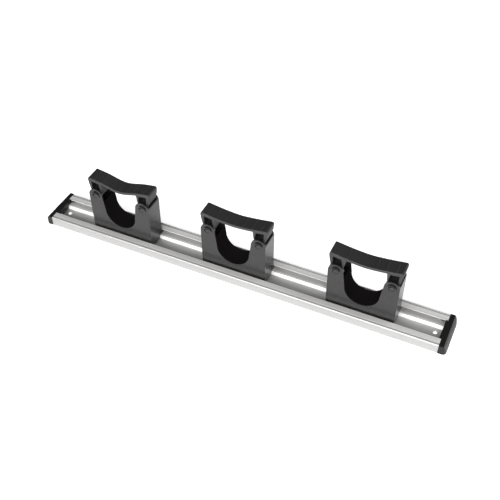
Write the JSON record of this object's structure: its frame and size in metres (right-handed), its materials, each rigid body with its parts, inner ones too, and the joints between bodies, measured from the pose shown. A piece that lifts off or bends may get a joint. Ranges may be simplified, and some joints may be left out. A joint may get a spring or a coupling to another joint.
{
  "type": "tool holder rail",
  "caption": "Wall rail with sliding holders; a sprung gripper across each U mouth clamps a broom or mop handle as it is pushed in.",
  "frame": {"origin": "centre of the rail's back face, on the wall plane", "axes": "+X along the rail towards the right end in the picture, +Y across the rail away from the camera (up, on the wall), +Z out from the wall"},
  "size_m": [0.5188, 0.051, 0.0846],
  "materials": {
    "aluminium": "satin",
    "cap_plastic": "matte",
    "body_plastic": "satin",
    "pin_plastic": "satin",
    "rubber": "matte"
  },
  "bodies": {
    "rail": {"rail": "aluminium", "end_cap_left": "cap_plastic", "end_cap_right": "cap_plastic"},
    "holder_1": {"holder_body_1": "body_plastic", "pivot_pin_left_1": "pin_plastic", "pivot_pin_right_1": "pin_plastic"},
    "jaw_left_1": {"jaw_left_1": "rubber"},
    "strap_left_1": {"strap_left_1": "rubber"},
    "jaw_right_1": {"jaw_right_1": "rubber"},
    "strap_right_1": {"strap_right_1": "rubber"},
    "holder_2": {"holder_body_2": "body_plastic", "pivot_pin_left_2": "pin_plastic", "pivot_pin_right_2": "pin_plastic"},
    "jaw_left_2": {"jaw_left_2": "rubber"},
    "strap_left_2": {"strap_left_2": "rubber"},
    "jaw_right_2": {"jaw_right_2": "rubber"},
    "strap_right_2": {"strap_right_2": "rubber"},
    "holder_3": {"holder_body_3": "body_plastic", "pivot_pin_left_3": "pin_plastic", "pivot_pin_right_3": "pin_plastic"},
    "jaw_left_3": {"jaw_left_3": "rubber"},
    "strap_left_3": {"strap_left_3": "rubber"},
    "jaw_right_3": {"jaw_right_3": "rubber"},
    "strap_right_3": {"strap_right_3": "rubber"}
  },
  "joints": [
    {"name": "holder_1_slide", "type": "slide", "parent": "rail", "child": "holder_1", "axis": [1, 0, 0], "range_m": [-0.045, 0.03]},
    {"name": "jaw_left_1_turn", "type": "hinge", "parent": "holder_1", "child": "jaw_left_1", "pos_m": [-0.1848, 0, 0.062], "axis": [0, 1, 0], "range_deg": [0, 60], "stiffness_Nm_per_rad": 0.15},
    {"name": "jaw_right_1_turn", "type": "hinge", "parent": "holder_1", "child": "jaw_right_1", "pos_m": [-0.1208, 0, 0.062], "axis": [0, -1, 0], "range_deg": [0, 60]},
    {"name": "strap_left_1_bend", "type": "hinge", "parent": "jaw_left_1", "child": "strap_left_1", "pos_m": [-0.1768, 0, 0.08022], "axis": [0, 1, 0], "range_deg": [-12.5, 0], "deforming": ["strap_left_1"]},
    {"name": "strap_right_1_bend", "type": "hinge", "parent": "jaw_right_1", "child": "strap_right_1", "pos_m": [-0.1288, 0, 0.08022], "axis": [0, -1, 0], "range_deg": [-12.5, 0], "deforming": ["strap_right_1"]},
    {"name": "holder_2_slide", "type": "slide", "parent": "rail", "child": "holder_2", "axis": [1, 0, 0], "range_m": [-0.035, 0.035]},
    {"name": "jaw_left_2_turn", "type": "hinge", "parent": "holder_2", "child": "jaw_left_2", "pos_m": [-0.0336, 0, 0.062], "axis": [0, 1, 0], "range_deg": [0, 60], "stiffness_Nm_per_rad": 0.15},
    {"name": "jaw_right_2_turn", "type": "hinge", "parent": "holder_2", "child": "jaw_right_2", "pos_m": [0.0304, 0, 0.062], "axis": [0, -1, 0], "range_deg": [0, 60]},
    {"name": "strap_left_2_bend", "type": "hinge", "parent": "jaw_left_2", "child": "strap_left_2", "pos_m": [-0.0256, 0, 0.08046], "axis": [0, 1, 0], "range_deg": [-5.2, 0], "deforming": ["strap_left_2"]},
    {"name": "strap_right_2_bend", "type": "hinge", "parent": "jaw_right_2", "child": "strap_right_2", "pos_m": [0.0224, 0, 0.08046], "axis": [0, -1, 0], "range_deg": [-5.2, 0], "deforming": ["strap_right_2"]},
    {"name": "holder_3_slide", "type": "slide", "parent": "rail", "child": "holder_3", "axis": [1, 0, 0], "range_m": [-0.035, 0.04]},
    {"name": "jaw_left_3_turn", "type": "hinge", "parent": "holder_3", "child": "jaw_left_3", "pos_m": [0.1233, 0, 0.062], "axis": [0, 1, 0], "range_deg": [0, 60], "stiffness_Nm_per_rad": 0.15},
    {"name": "jaw_right_3_turn", "type": "hinge", "parent": "holder_3", "child": "jaw_right_3", "pos_m": [0.1873, 0, 0.062], "axis": [0, -1, 0], "range_deg": [0, 60]},
    {"name": "strap_left_3_bend", "type": "hinge", "parent": "jaw_left_3", "child": "strap_left_3", "pos_m": [0.1313, 0, 0.08046], "axis": [0, 1, 0], "range_deg": [-5.2, 0], "deforming": ["strap_left_3"]},
    {"name": "strap_right_3_bend", "type": "hinge", "parent": "jaw_right_3", "child": "strap_right_3", "pos_m": [0.1793, 0, 0.08046], "axis": [0, -1, 0], "range_deg": [-5.2, 0], "deforming": ["strap_right_3"]}
  ],
  "couplings": [
    {"joint": "jaw_right_1_turn", "follows": "jaw_left_1_turn", "ratio": 1},
    {"joint": "strap_left_1_bend", "follows": "jaw_left_1_turn", "ratio": -0.2052},
    {"joint": "strap_right_1_bend", "follows": "jaw_left_1_turn", "ratio": -0.2052},
    {"joint": "jaw_right_2_turn", "follows": "jaw_left_2_turn", "ratio": 1},
    {"joint": "strap_left_2_bend", "follows": "jaw_left_2_turn", "ratio": -0.0841},
    {"joint": "strap_right_2_bend", "follows": "jaw_left_2_turn", "ratio": -0.0841},
    {"joint": "jaw_right_3_turn", "follows": "jaw_left_3_turn", "ratio": 1},
    {"joint": "strap_left_3_bend", "follows": "jaw_left_3_turn", "ratio": -0.0841},
    {"joint": "strap_right_3_bend", "follows": "jaw_left_3_turn", "ratio": -0.0841}
  ]
}
